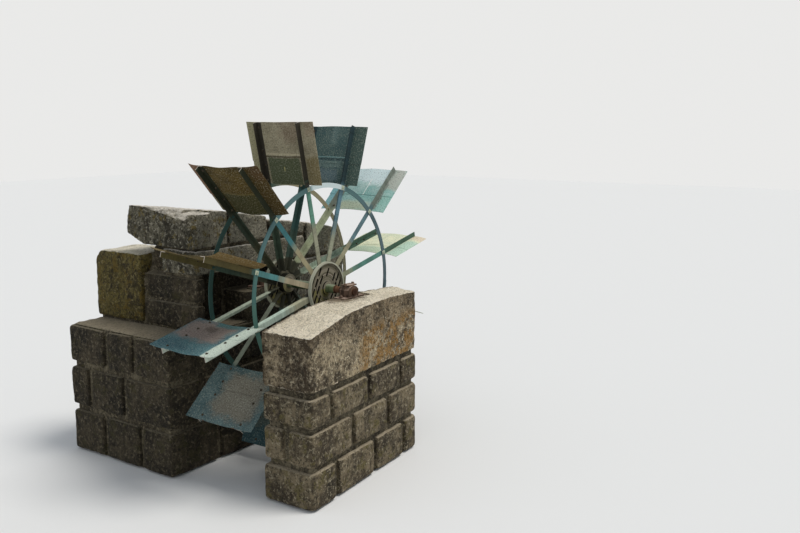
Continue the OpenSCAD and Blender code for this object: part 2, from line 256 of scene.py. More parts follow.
def new_group(name, inputs, outputs):
    """A shader group. A socket takes a number, or what is named after its colon."""
    tree = bpy.data.node_groups.new(name, "ShaderNodeTree")
    for way, sockets in (("INPUT", inputs), ("OUTPUT", outputs)):
        for socket in sockets:
            label, _, kind = socket.partition(":")
            tree.interface.new_socket(label, in_out=way,
                                      socket_type="NodeSocket" + (kind or "Float"))
    return (tree, tree.nodes.new("NodeGroupInput").outputs,
            tree.nodes.new("NodeGroupOutput").inputs)


def use_group(tree, group, values):
    made = tree.nodes.new("ShaderNodeGroup")
    made.node_tree = group
    plug_all(tree, made.inputs, values)
    return made.outputs


def make_masonry_grain():
    """The grain of old masonry: broad tone, dark runs, pale specks of crust, pits, growth,
    relief, and which way the surface faces."""
    tree, given, results = new_group(
        "masonry grain", ["Growth share"],
        ["Tone", "Runs", "Crust", "Pits", "Growth", "Height", "Top", "Race side", "Place:Vector"])
    coords = tree.nodes.new("ShaderNodeTexCoord").outputs
    where = coords["Object"]
    drawn_down = tree.nodes.new("ShaderNodeMapping")
    plug_all(tree, drawn_down.inputs, {"Scale": (1.0, 1.0, 0.22), "Vector": where})
    pebbles = tree.nodes.new("ShaderNodeTexVoronoi")
    plug_all(tree, pebbles.inputs, {"Scale": 46.0, "Vector": where})
    broad = noise(tree, where, 3.1, 5.0, 0.6)
    broken = noise(tree, where, 14.0, 6.0, 0.72)
    runs = noise(tree, drawn_down.outputs[0], 11.0, 5.0, 0.62)
    crust = noise(tree, where, 27.0, 6.0, 0.82)
    pits = noise(tree, where, 40.0, 5.0, 0.76)
    grit = noise(tree, where, 120.0, 2.0, 0.6)
    growth = noise(tree, where, 7.5, 7.0, 0.78)
    growth_floor = minus(tree, 0.68, given["Growth share"])
    facing = split(tree, coords["Normal"])
    plug_all(tree, results, {
        "Tone": between(tree, weighted_sum(tree, (broad, 0.5), (broken, 0.5)), 0.41, 0.59),
        "Runs": between(tree, runs, 0.50, 0.62),
        "Crust": between(tree, crust, 0.53, 0.60),
        "Pits": between(tree, pits, 0.52, 0.59),
        "Growth": between(tree, growth, growth_floor, plus(tree, growth_floor, 0.06)),
        "Height": weighted_sum(tree, (broken, 0.7), (crust, 0.55),
                               (pebbles.outputs["Distance"], 0.4), (grit, 0.15)),
        "Top": between(tree, facing["Z"], 0.62, 0.92),
        "Race side": between(tree, facing["Y"], -0.5, -0.9),
        "Place": where})
    return tree


def everywhere(tree, grain):
    return 1.0


def masonry(name, pale, dark, crust, growth, top, growth_share, growth_where=everywhere,
            soiled_where=None, bump=0.8, lit_side=0.0, run_share=0.6):
    """Stone or concrete: dark runs, crust, pits and growth on the sides, a painted highlight on
    the top for the light from above and, where there is one, a painted highlight on the side
    toward the race."""
    material, tree, shader = new_material(name)
    grain = use_group(tree, masonry_grain, {"Growth share": growth_share})
    soot = (36, 32, 25)
    face = blend(tree, grain["Tone"], dark, pale)
    face = blend(tree, times(tree, grain["Runs"], run_share), face, soot)
    face = blend(tree, times(tree, grain["Crust"], 0.85), face, crust)
    # Painted light: the side toward the race is blended toward the pale crust colour, as if lit.
    face = blend(tree, times(tree, grain["Race side"], lit_side), face, crust)
    grown = times(tree, grain["Growth"], growth_where(tree, grain))
    face = blend(tree, times(tree, grown, 0.85), face, growth)
    # Painted highlight: upward faces take the top colour, which stands in for the light from
    # above.
    lit_top_colour = blend(tree, times(tree, grain["Tone"], 0.35), top, pale)
    colour = blend(tree, grain["Top"], face, lit_top_colour)
    if soiled_where is not None:
        soil = blend(tree, grain["Tone"], (68, 57, 44), (116, 99, 77))
        colour = blend(tree, times(tree, soiled_where(tree, grain), 0.9), colour, soil)
    pitted = between(tree, grain["Top"], 0.0, 1.0, 0.75, 0.38)
    plug_all(tree, shader, {
        "Base Color": blend(tree, times(tree, grain["Pits"], pitted), colour, soot),
        "Roughness": between(tree, grain["Height"], 0.4, 1.2, 0.98, 0.82),
        "Normal": raise_bumps(tree, grain["Height"], bump, 0.02),
        "Specular IOR Level": 0.2})
    return material


def spot(tree, grain, centre, near, far):
    """A ragged mask about a place: 1 within the near distance, 0 beyond the far one."""
    away = tree.nodes.new("ShaderNodeVectorMath")
    away.operation = "DISTANCE"
    plug(tree, away.inputs[0], grain["Place"])
    away.inputs[1].default_value = centre
    ragged = minus(tree, noise(tree, grain["Place"], 11.0, 6.0, 0.75), 0.5)
    ragged = times(tree, ragged, 2.4 * (far - near))
    return between(tree, plus(tree, away.outputs["Value"], ragged), far, near)


def ochre_side(tree, grain):
    """Lichen on the downstream half of the near side, below its upper quarter."""
    about = spot(tree, grain, wheel_centre + Vector((0.42, -0.93, -0.52)), 0.60, 0.95)
    height = split(tree, grain["Place"])["Z"]
    return times(tree, about, between(tree, height, shaft_z - 0.18, shaft_z - 0.30, 0.15, 1.0))


def soiled_concrete(tree, grain):
    """Dirt about the bearing, along the edge of the race, on the upstream end and below
    the arris of the near side."""
    about = spot(tree, grain, wheel_centre + Vector((-0.08, -0.46, -0.07)), 0.20, 0.36)
    at = split(tree, grain["Place"])
    ragged = times(tree, noise(tree, grain["Place"], 14.0, 6.0, 0.75), 0.12)
    edge = pier_high[1]
    band = between(tree, plus(tree, at["Y"], ragged), edge - 0.01, edge + 0.03, 0.0, 0.75)
    upstream = between(tree, plus(tree, at["X"], ragged),
                       pier_low[0] + 0.13, pier_low[0] + 0.06, 0.0, 0.62)
    under_arris = between(tree, plus(tree, at["Z"], ragged),
                          shaft_z - 0.30, shaft_z - 0.10, 0.0, 0.50)
    on_side = times(tree, larger(tree, upstream, under_arris), minus(tree, 1.0, grain["Top"]))
    return larger(tree, larger(tree, about, band), on_side)


masonry_grain = make_masonry_grain()
# The top colour of the concrete is a painted highlight on its upward faces.
concrete = masonry("rough concrete", pale=(180, 164, 134), dark=(74, 64, 50),
                   crust=(216, 202, 172), growth=(146, 110, 56), top=(250, 238, 214),
                   growth_share=0.215, growth_where=ochre_side, soiled_where=soiled_concrete,
                   bump=1.5, run_share=0.25)
pier_top = copy_of("front_pier", "pier_concrete")
saw(pier_top, (0, 0, shaft_z - pier_cast_height + half_joint), (0, 0, -1))
weather(pier_top, corner=0.050, grain=0.013, rounding=5)
for depth, size in ((0.018, 0.30), (0.016, 0.08), (0.009, 0.030)):
    wear(pier_top, depth, size)
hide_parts("front_pier")
finish_piece(pier_top, concrete, "plant")


# Front pier, lower part: rough squared stones, laid in courses in lime mortar under the
# concrete. They stay damp, so their faces are dark and washed back.
def join(pieces, name):
    only(pieces[0])
    for piece in pieces[1:]:
        piece.select_set(True)
    bpy.ops.object.join()
    joined = bpy.context.view_layer.objects.active
    joined.name = joined.data.name = name
    return joined


def squared_stones(node, name, beds, course_cells, material, seed):
    """Saws a solid into the stones of its courses and weathers every stone by itself."""
    rng = random.Random(seed)
    low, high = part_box(node)
    for course, (bed, top, stone_cells) in enumerate(zip(beds, beds[1:], course_cells)):
        stones = []
        for west, east, front, back in stone_cells:
            stone = copy_of(node, f"{name}_{course + 1}_stone")
            for place, direction, cut in (
                    ((east - half_joint, 0, 0), (1, 0, 0), east < high[0] - half_joint),
                    ((west + half_joint, 0, 0), (-1, 0, 0), west > low[0] + half_joint),
                    ((0, back - half_joint, 0), (0, 1, 0), back < high[1] - half_joint),
                    ((0, front + half_joint, 0), (0, -1, 0), front > low[1] + half_joint),
                    ((0, 0, top - half_joint), (0, 0, 1), True),
                    ((0, 0, bed + half_joint), (0, 0, -1), bed > low[2])):
                if cut:
                    saw(stone, place, direction)
            weather(stone, corner=0.032, grain=0.018, rounding=4)
            wear(stone, depth=rng.uniform(0.010, 0.020), size=0.24)
            wear(stone, depth=0.008, size=0.05)
            stones.append(stone)
        finish_piece(join(stones, f"{name}_{course + 1}"), material, "plant")


def shares(low, high, parts):
    """Places along a length, from its low end to its high end, at shares of the length."""
    return [low] + [low + part * (high - low) for part in parts] + [high]


pier_beds = shares(0.0, shaft_z - pier_cast_height, [0.36, 0.70])
pier_joints = [[0.20, 0.52, 0.79], [0.33, 0.64], [0.16, 0.47, 0.76]]
pier_ends = [[], [0.55], []]
pier_cells = []
for joints, ends in zip(pier_joints, pier_ends):
    along = shares(pier_low[0], pier_high[0], joints)
    across = shares(pier_low[1], pier_high[1], ends)
    course = [(along[0], along[1], front, back) for front, back in zip(across, across[1:])]
    course += [(west, east, across[0], across[-1]) for west, east in zip(along[1:], along[2:])]
    pier_cells.append(course)
# The top colour is a painted highlight for upward faces.
river_stone = masonry("washed river stone", pale=(120, 108, 86), dark=(62, 54, 42),
                      crust=(156, 146, 122), growth=(92, 84, 52), top=(164, 152, 130),
                      growth_share=0.14)
squared_stones("front_pier", "pier_course", pier_beds, pier_cells, river_stone,
               seed=7)


# Mortar of pier and footing: a lean lime mix that fills the joints between the stones
# and has washed out, so that it stands back behind their faces.
def joint_filling(node, name, parts):
    """The core of a coursed mass: each part sawn from the node and drawn in all round."""
    inset = 0.044
    cores = []
    for cuts, sides in parts:
        core = copy_of(node, name + "_part")
        for place, direction in cuts:
            saw(core, place, direction)
        edit_all(core)
        bpy.ops.mesh.convex_hull()
        leave_edit()
        for place, direction in sides:
            outward = Vector(direction).normalized()
            saw(core, Vector(place) - outward * inset, outward)
        cores.append(core)
    filling = join(cores, name)
    divide_evenly(filling, size=0.03)
    wear(filling, depth=0.012, size=0.06)
    return filling


def right_of(start, end):
    """The direction to the right of a side that runs from one corner to the next."""
    return end.y - start.y, start.x - end.x, 0


# The top colour is a painted highlight for upward faces.
mortar = masonry("lime mortar", pale=(104, 96, 78), dark=(58, 52, 40), crust=(132, 122, 100),
                 growth=(74, 68, 44), top=(140, 130, 110), growth_share=0.12)
upstream_x, downstream_x, race_face = pier_low[0], pier_high[0], pier_high[1]
near_corner = Vector((upstream_x + 0.04, pier_low[1], 0))
far_corner = Vector((downstream_x - 0.19, race_face - 0.42, 0))
skew_corner = Vector((downstream_x - 0.15, race_face - 0.38, 0))
race_corner = Vector((downstream_x, race_face, 0))
pier_mortar = joint_filling("front_pier", "pier_mortar", [(
    [((0, 0, shaft_z - pier_cast_height / 2), (0, 0, 1))],
    [((upstream_x, 0, 0), (-1, 0, 0)), ((0, race_face, 0), (0, 1, 0)),
     (near_corner, right_of(near_corner, far_corner)),
     (race_corner, right_of(skew_corner, race_corner))])])
finish_piece(pier_mortar, mortar, "plant")

footing_low, footing_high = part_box("rear_footing")
wall_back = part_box("niche_jamb")[1][1]
corner_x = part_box("stack_stone_low")[1][0]
leg_overlap = 0.2
north, south = ((0, footing_high[1], 0), (0, 1, 0)), ((0, footing_low[1], 0), (0, -1, 0))
footing_mortar = joint_filling("rear_footing", "footing_mortar", [
    ([((corner_x, 0, 0), (1, 0, 0))],
     [((footing_low[0], 0, 0), (-1, 0, 0)), ((corner_x, 0, 0), (1, 0, 0)), north, south]),
    ([((corner_x - leg_overlap, 0, 0), (-1, 0, 0)), ((0, wall_back, 0), (0, 1, 0))],
     [((footing_high[0], 0, 0), (1, 0, 0)), ((0, wall_back, 0), (0, 1, 0)), south])])
finish_piece(footing_mortar, mortar, "plant")


# Rear wall: great squared stones laid nearly dry on a core of mortar, grey and soiled on their
# faces, with a niche for the far bearing under one long stone. Their tops are painted pale as a
# highlight for the light from above, the side toward the race is painted lighter as lit, and
# stones that stand in shade take a darker copy of the stone, a painted shade.
wall_stone = masonry("grey wall stone", pale=(110, 105, 88), dark=(46, 44, 34),
                     crust=(164, 158, 140), growth=(104, 90, 46), top=(228, 220, 206),
                     growth_share=0.13, bump=1.1, lit_side=0.4)
brown_stone = masonry("browned wall stone", pale=(102, 91, 48), dark=(44, 38, 18),
                      crust=(132, 120, 80), growth=(92, 76, 30), top=(228, 220, 200),
                      growth_share=0.16, bump=1.1)
# A darker copy of the wall stone for stones that stand in shade: painted shade.
shaded_stone = masonry("shaded wall stone", pale=(72, 64, 49), dark=(30, 27, 20),
                       crust=(112, 103, 84), growth=(60, 56, 34), top=(120, 112, 94),
                       growth_share=0.14, bump=1.1)
open_to_light = (wall_stone, "wall_stone")
in_shade = (shaded_stone, "wall_stone_dark")
wall_stones = {
    "rear_plinth": in_shade, "niche_back": in_shade, "niche_jamb": open_to_light,
    "niche_lintel": open_to_light, "stack_stone_low": in_shade, "stack_stone_mid": in_shade,
    "stack_stone_high": in_shade, "stack_stone_end": (brown_stone, "wall_stone"),
    "coping_stone_1": open_to_light, "coping_stone_2": open_to_light,
    "coping_stone_3": open_to_light, "coping_stone_4": open_to_light,
}
broken_off = {
    "coping_stone_1": [((-0.95, 1.25, 0.787), (-0.0777, -0.0190, 0.1050)),
                       ((-0.95, 0.60, 0.66), (-0.0130, -0.0126, 0.0117))],
    "stack_stone_end": [((-0.97, 1.80, 0.33), (0.0, 0.66, 0.75)),
                        ((-0.97, 1.20, 0.26), (-0.50, -0.62, 0.60))],
    "stack_stone_mid": [((-0.925, 0.0, 0.0), (-1.0, 0.0, 0.0))],
    "stack_stone_low": [((-0.94, 0.47, -0.20), (-1.0, -0.15, 0.10))],
    "niche_lintel": [((-0.935, 0.0, 0.0), (-1.0, 0.0, 0.0))],
}


def broken_copy(node, name):
    """A copy of a stone, split where the real one is broken or stands back."""
    stone = copy_of(node, name)
    for place, direction in broken_off.get(node, []):
        saw(stone, wheel_centre + Vector(place), direction)
    return stone


def edit_faces(piece, wanted):
    """Enters edit mode with just the faces selected that are wanted, by centre and normal."""
    only(piece)
    bpy.ops.object.mode_set(mode="EDIT")
    bpy.ops.mesh.select_mode(type="FACE")
    bpy.ops.mesh.select_all(action="DESELECT")
    leave_edit()
    for face in piece.data.polygons:
        face.select = wanted(face.center, face.normal)
    bpy.ops.object.mode_set(mode="EDIT")


core_inset, core_drop, foot_of_wall = 0.050, 0.10, footing_high[2] + 0.08
cores = [broken_copy(node, "wall_core_" + node) for node in wall_stones]
wall_mortar = join(cores, "wall_mortar")
divide_evenly(wall_mortar, size=0.035)
set_back = wall_mortar.modifiers.new("set_back", "DISPLACE")
set_back.mid_level = 0.0
set_back.strength = -core_inset
harden(wall_mortar, set_back)
edit_faces(wall_mortar, lambda centre, normal: normal.z < -0.9 and centre.z < foot_of_wall)
bpy.ops.transform.translate(value=(0, 0, -core_drop))
leave_edit()
finish_piece(wall_mortar, mortar, "plant")

for node, (look, slot) in wall_stones.items():
    stone = broken_copy(node, "worn_" + node)
    weather(stone, corner=0.036, grain=0.016, rounding=4)
    wear(stone, depth=0.018, size=0.26)
    wear(stone, depth=0.012, size=0.06)
    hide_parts(node)
    finish_piece(stone, look, "plant")


# Rear footing: three courses of squared stones bedded in mortar in an L, broad under
# the upstream face of the wall and as narrow as the wall along the race.
footing_beds = shares(0.0, footing_high[2], [0.34, 0.68])
footing_joints = [[0.24, 0.46, 0.74], [0.17, 0.35, 0.60, 0.84], [0.26, 0.50, 0.77]]
footing_ends = [[0.30, 0.66], [0.45, 0.80], [0.34, 0.62]]
footing_cells = []
for joints, ends in zip(footing_joints, footing_ends):
    along = shares(footing_low[0], footing_high[0], joints)
    across = shares(footing_low[1], footing_high[1], ends)
    course = [(along[0], along[1], front, back) for front, back in zip(across, across[1:])]
    for west, east in zip(along[1:], along[2:]):
        course.append((west, east, footing_low[1], wall_back))
        if west < corner_x:
            course.append((west, east, wall_back, footing_high[1]))
    footing_cells.append(course)
squared_stones("rear_footing", "footing_course", footing_beds, footing_cells, shaded_stone,
               seed=11)
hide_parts("rear_footing")


# Bearing beds: a pad of mortar under each sill, spread by hand on the masonry and worn
# round its edge.
bed_depth, bed_ends, bed_sides = 0.08, 0.03, 0.014
for side in ("front", "rear"):
    sill_low, sill_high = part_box(side + "_sill")
    bpy.ops.object.select_all(action="DESELECT")
    bpy.ops.mesh.primitive_cube_add(size=1, location=(
        (sill_low[0] + sill_high[0]) / 2, (sill_low[1] + sill_high[1]) / 2,
        sill_low[2] - bed_depth / 2))
    pad = bpy.context.object
    pad.scale = (sill_high[0] - sill_low[0] + bed_ends, sill_high[1] - sill_low[1] + bed_sides,
                 bed_depth)
    bpy.ops.object.transform_apply(location=True, rotation=True, scale=True)
    pad.name = pad.data.name = side + "_bearing_bed"
    weather(pad, corner=0.006, grain=0.008, rounding=2)
    wear(pad, depth=0.003, size=0.05)
    finish_piece(pad, mortar, "plant")


# Shaft: a steel pipe painted green, with a turned journal at each end that runs in a
# bearing and has rusted. The old paint and rust of all the iron are made here too.
def make_wheel_place():
    """The place on the wheel: distance from the shaft, place and distance along it, angle,
    a plane across sheet or bar, and which way the surface faces."""
    tree, given, results = new_group(
        "wheel place", ["Seed"],
        ["Radius", "Across", "Side", "Turn", "Flat:Vector", "Upward", "Sideways"])
    coords = tree.nodes.new("ShaderNodeTexCoord").outputs
    from_centre = tree.nodes.new("ShaderNodeVectorMath")
    from_centre.operation = "SUBTRACT"
    plug(tree, from_centre.inputs[0], coords["Object"])
    from_centre.inputs[1].default_value = wheel_centre
    at = split(tree, from_centre.outputs[0])
    squares = plus(tree, times(tree, at["X"], at["X"]), times(tree, at["Z"], at["Z"]))
    radius = math_node(tree, "SQRT", squares)
    turn = math_node(tree, "ARCTAN2", at["Z"], at["X"])
    flat = tree.nodes.new("ShaderNodeCombineXYZ")
    plug_all(tree, flat.inputs, {"X": at["Y"], "Y": radius, "Z": given["Seed"]})
    facing = split(tree, coords["Normal"])
    plug_all(tree, results, {
        "Radius": radius, "Side": at["Y"], "Across": math_node(tree, "ABSOLUTE", at["Y"]),
        "Turn": math_node(tree, "DEGREES", turn), "Flat": flat.outputs[0],
        "Upward": facing["Z"], "Sideways": math_node(tree, "ABSOLUTE", facing["Y"])})
    return tree


def make_rusting():
    """Rust that starts at edges and spreads in patches, with scale that lifts the paint."""
    tree, given, results = new_group(
        "rusting", ["Vector:Vector", "Edge", "Amount"], ["Rust", "Rust colour:Color", "Height"])
    spread = noise(tree, given["Vector"], 7.0, 7.0, 0.68)
    crumbs = noise(tree, given["Vector"], 42.0, 4.0, 0.7)
    flecks = noise(tree, given["Vector"], 130.0, 2.0, 0.6)
    pull = weighted_sum(tree, (spread, 0.6), (crumbs, 0.4), (given["Edge"], 0.11))
    rust_floor = minus(tree, 0.74, times(tree, given["Amount"], 0.3))
    rust = between(tree, pull, rust_floor, plus(tree, rust_floor, 0.05))
    plug_all(tree, results, {
        "Rust": rust,
        "Rust colour": blend(tree, between(tree, crumbs, 0.4, 0.62), (58, 40, 30), (112, 80, 58)),
        "Height": weighted_sum(tree, (rust, 0.35), (times(tree, rust, flecks), 0.6))})
    return tree


def no_edge(tree, place):
    return 0.0


def painted(name, seed, colour_of, rust_amount, rough=0.6, bump=0.35, edge_of=no_edge):
    """Old paint on iron. colour_of and edge_of make the paint colour and the rusty edges."""
    material, tree, shader = new_material(name)
    place = use_group(tree, wheel_place, {"Seed": seed})
    rust = use_group(tree, rusting, {"Vector": place["Flat"], "Edge": edge_of(tree, place),
                                     "Amount": rust_amount})
    ripple = noise(tree, place["Flat"], 5.0, 3.0)
    height = plus(tree, rust["Height"], times(tree, ripple, 0.5))
    plug_all(tree, shader, {
        "Base Color": blend(tree, rust["Rust"], colour_of(tree, place), rust["Rust colour"]),
        "Roughness": between(tree, rust["Rust"], 0.0, 1.0, rough, 0.92),
        "Normal": raise_bumps(tree, height, bump, 0.006),
        "Specular IOR Level": 0.14})
    return material


def green_pipe(tree, place):
    mottle = noise(tree, place["Flat"], 16.0, 5.0)
    green = blend(tree, between(tree, mottle, 0.4, 0.6), (46, 58, 34), (94, 106, 74))
    # Painted highlight: the upper side of the pipe is blended to a pale grey-green, as lit from
    # above.
    return blend(tree, between(tree, place["Upward"], 0.5, 0.95, 0.0, 0.7), green, (146, 154, 132))


def journal_edge(tree, place):
    return between(tree, place["Across"], 0.380, 0.388, 0.0, 4.0)


def assign(node, material):
    """Puts a material in every slot of a solid of the frame."""
    slots = frame["nodes"][node].data.materials
    if len(slots) == 0:
        slots.append(material)
    for index in range(len(slots)):
        slots[index] = material


wheel_place, rusting = make_wheel_place(), make_rusting()
assign("shaft", painted("shaft paint", 1.0, green_pipe, 0.25, edge_of=journal_edge))


# Bearings: a sill, a split housing and a strap cap bolted together on each side, all of iron that
# has rusted to a brown crust, with a painted highlight that makes the upward faces paler.
def brown_crust(tree, place):
    crust = noise(tree, place["Flat"], 26.0, 6.0, 0.7)
    rusty = blend(tree, between(tree, crust, 0.36, 0.62), (50, 39, 31), (112, 90, 75))
    # Painted highlight: a paler crust for upward faces, as lit from above.
    lit_top_crust = blend(tree, between(tree, crust, 0.4, 0.6), (118, 98, 84), (166, 146, 132))
    return blend(tree, between(tree, place["Upward"], 0.6, 0.95), rusty, lit_top_crust)


bearing_rust = painted("bearing crust", 4.0, brown_crust, 0.45, rough=0.9, bump=0.8)
for side in ("front", "rear"):
    for part in ("sill", "bearing", "bearing_cap"):
        assign(f"{side}_{part}", bearing_rust)


# Nuts: hexagons of rusty iron on washers. Each bearing cap is held down by a nut on each
# of its two studs, and each sill by two anchor bolts that are set in the masonry.
def cylinder(sides, radius, low, high):
    bpy.ops.object.select_all(action="DESELECT")
    bpy.ops.mesh.primitive_cylinder_add(vertices=sides, radius=radius, depth=high - low,
                                        location=(0, 0, (low + high) / 2))
    bpy.ops.object.transform_apply(location=True)
    return bpy.context.object


def nut_on_washer(name, nut, washer, stud_end):
    """A hexagon nut on a round washer, each a radius and a height, with the end of its
    stud standing out of it."""
    nut_radius, nut_height = nut
    washer_radius, washer_height = washer
    plate = cylinder(16, washer_radius, 0, washer_height)
    hexagon = cylinder(6, nut_radius, washer_height, washer_height + nut_height)
    nut_chamfer, stud_inset, stud_chamfer = (nut_radius * share for share in (0.12, 0.3, 0.08))
    edit_faces(hexagon, lambda centre, normal: normal.z > 0.9)
    bpy.ops.mesh.bevel(offset=nut_chamfer, segments=1, affect="EDGES")
    leave_edit()
    edit_faces(hexagon, lambda centre, normal: normal.z > 0.99)
    bpy.ops.mesh.inset(thickness=stud_inset)
    bpy.ops.mesh.extrude_region_move(TRANSFORM_OT_translate={"value": (0, 0, stud_end)})
    bpy.ops.mesh.bevel(offset=stud_chamfer, segments=1, affect="EDGES")
    leave_edit()
    return join([hexagon, plate], name)


def set_copies(model, name, places, material, body):
    """Copies a small piece to many places, each copy with its own mesh, as one piece."""
    copies = []
    for place in places:
        only(model)
        bpy.ops.object.duplicate(linked=False)
        copies.append(bpy.context.object)
        copies[-1].matrix_world = place
        bpy.ops.object.transform_apply(location=True, rotation=True, scale=True)
    finish_piece(join(copies, name), material, body)


def remove_models(*models):
    for model in models:
        bpy.data.objects.remove(model, do_unlink=True)


stud_nut = nut_on_washer("stud_nut", nut=(0.0145, 0.012), washer=(0.0185, 0.0025),
                         stud_end=0.001)
anchor_nut = nut_on_washer("anchor_nut", nut=(0.0165, 0.013), washer=(0.024, 0.003),
                           stud_end=0.010)
stud_half_pitch, stud_seat, anchor_half_pitch = 0.056, 0.0640, 0.120
for side in ("front", "rear"):
    cap_low, cap_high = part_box(side + "_bearing_cap")
    sill_low, sill_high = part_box(side + "_sill")
    for nut, name, half_pitch, y, z, first_turn, next_turn in (
            (stud_nut, "_stud_nuts", stud_half_pitch, (cap_low[1] + cap_high[1]) / 2,
             shaft_z + stud_seat, 0, 17),
            (anchor_nut, "_anchor_nuts", anchor_half_pitch, (sill_low[1] + sill_high[1]) / 2,
             sill_high[2], 9, 20)):
        set_copies(nut, side + name,
                   [Matrix.Translation((wheel_x + end * half_pitch, y, z))
                    @ Matrix.Rotation(math.radians(first_turn + next_turn * end), 4, "Z")
                    for end in (-1, 1)], bearing_rust, "plant")
remove_models(stud_nut, anchor_nut)


# Hub discs: cast iron plates with a raised rim and rows of cast slots, pushed on the shaft. Once
# painted pale, they are chalky and streaked, with yellow growth low down, and the walls of their
# slots are painted near black as shade.
def chalky_disc(tree, place):
    cloud = noise(tree, place["Flat"], 13.0, 6.0, 0.68)
    speck = noise(tree, place["Flat"], 55.0, 4.0, 0.72)
    base = blend(tree, between(tree, cloud, 0.40, 0.60), (96, 92, 74), (150, 142, 124))
    for start, full, colour in ((0.54, 0.62, (70, 64, 50)), (0.46, 0.38, (176, 160, 148))):
        base = blend(tree, times(tree, between(tree, speck, start, full), 0.6), base, colour)
    stain = between(tree, noise(tree, place["Flat"], 14.0, 4.0), 0.54, 0.66)
    lower = between(tree, place["Turn"], -60.0, -90.0)
    low_stain = times(tree, lower, between(tree, cloud, 0.42, 0.52, 0.0, 0.9))
    base = blend(tree, larger(tree, times(tree, stain, 0.5), low_stain), base, (124, 118, 66))
    rim = times(tree, between(tree, place["Radius"], 0.232, 0.240), 0.7)
    base = blend(tree, rim, base, (186, 188, 168))
    # Painted shade: the walls of the slots are painted near black for the dark inside the wheel.
    slot_shade = times(tree, between(tree, place["Sideways"], 0.6, 0.4),
                    between(tree, place["Radius"], 0.226, 0.218))
    return blend(tree, slot_shade, base, (26, 25, 19))


disc_paint = painted("chalky disc paint", 7.0, chalky_disc, 0.30, rough=0.85, bump=0.6)
for node in ("hub_disc_front", "hub_disc_rear"):
    assign(node, disc_paint)


# Disc bolts: one iron bolt through each disc and the side leg of each spoke, near the
# rim, painted with the disc.
first_spoke, spoke_pitch, spokes = 12, 30, range(1, 13)
bolt_radius, disc_face, leg_middle = 0.222, 0.275, 0.025
sides = (("front", -1), ("rear", 1))


def on_wheel(k, radius, across, lift, turned=0.0):
    """A place on spoke k: its radius, its place across and its lift above the spoke's line."""
    angle = math.radians(first_spoke + spoke_pitch * (k - 1))
    return (Matrix.Translation(wheel_centre) @ Matrix.Rotation(-angle, 4, "Y")
            @ Matrix.Translation((radius, across, lift)) @ Matrix.Rotation(turned, 4, "X"))


disc_bolt = nut_on_washer("disc_bolt", nut=(0.0085, 0.0060), washer=(0.0105, 0.0015),
                          stud_end=0.0015)
for side, sign in sides:
    set_copies(disc_bolt, side + "_disc_bolts",
               [on_wheel(k, bolt_radius, sign * disc_face, leg_middle, math.radians(-90 * sign))
                for k in spokes], disc_paint, "wheel")
remove_models(disc_bolt)


# Rings: steel flat bars rolled on edge and bolted outside the spokes, in worn blue-grey
# paint that is nearly white at the top and dull green low down.
def ring_blue(tree, place):
    cloud = noise(tree, place["Flat"], 6.0, 5.0)
    spotted = noise(tree, place["Flat"], 40.0, 4.0, 0.7)
    bar = blend(tree, between(tree, cloud, 0.4, 0.6), (50, 76, 82), (84, 114, 114))
    turn = place["Turn"]
    for start, full, fade, end, colour, strength in (
            (70.0, 76.0, 99.0, 103.0, (206, 220, 220), 0.9),
            (-60.0, -20.0, 40.0, 64.0, (86, 102, 108), 0.8),
            (-200.0, -182.0, -150.0, -100.0, (76, 110, 98), 0.8),
            (150.0, 166.0, 181.0, 190.0, (72, 108, 102), 0.8)):
        arc = times(tree, between(tree, turn, start, full), between(tree, turn, end, fade))
        bar = blend(tree, times(tree, arc, strength), bar, colour)
    left_arc = larger(tree, between(tree, turn, 76.0, 104.0), between(tree, turn, -96.0, -130.0))
    far_bar = blend(tree, left_arc, (154, 146, 118), (50, 78, 72))
    bar = blend(tree, between(tree, place["Side"], -0.1, 0.1), bar, far_bar)
    return blend(tree, times(tree, between(tree, spotted, 0.58, 0.66), 0.6), bar, (70, 56, 44))


ring_paint = painted("ring paint", 11.0, ring_blue, 0.26)
for node in ("ring_front", "ring_rear"):
    assign(node, ring_paint)


# Ring lugs: a small pale steel plate and a bolt over each place where a ring crosses a
# spoke, with the nut on the inner face of the spoke.
lug_height, lug_width, lug_depth = 0.042, 0.038, 0.004
bar_middle, ring_face, leg_inside, nut_lift = 0.9675, 0.267, 0.254, 0.027
bpy.ops.object.select_all(action="DESELECT")
bpy.ops.mesh.primitive_cube_add(size=1, location=(0, 0, lug_depth / 2))
lug = bpy.context.object
lug.scale = (lug_height, lug_width, lug_depth)
bpy.ops.object.transform_apply(location=True, rotation=True, scale=True)
lug_corners = lug.modifiers.new("corners", "BEVEL")
lug_corners.width, lug_corners.segments = 0.0015, 1
harden(lug, lug_corners)
ring_bolt = nut_on_washer("ring_bolt", nut=(0.0105, 0.0075), washer=(0.0135, 0.0020),
                          stud_end=0.0025)


def chalky_plate(tree, place):
    cloud = noise(tree, place["Flat"], 30.0, 5.0, 0.65)
    return blend(tree, between(tree, cloud, 0.38, 0.62), (128, 140, 118), (196, 202, 180))


lug_paint = painted("chalky lug paint", 13.0, chalky_plate, 0.30, rough=0.8)
for side, sign in sides:
    for model, name, across, lift, way, look in (
            (lug, "_ring_lugs", ring_face, leg_middle, -90, lug_paint),
            (ring_bolt, "_ring_bolts", ring_face + lug_depth, leg_middle, -90, lug_paint),
            (ring_bolt, "_ring_nuts", leg_inside, nut_lift, 90, ring_paint)):
        set_copies(model, side + name,
                   [on_wheel(k, bar_middle, sign * across, lift, math.radians(way * sign))
                    for k in spokes], look, "wheel")
remove_models(lug, ring_bolt)


# Spokes: sawn angle irons bolted to discs and rings, each pair in its own old paint: dark on the
# paddle, brighter inside the ring, chalky towards the hub, and painted shade behind the disc, near
# black on the near side and dark grey on the far side.
tip_radius = 1.58


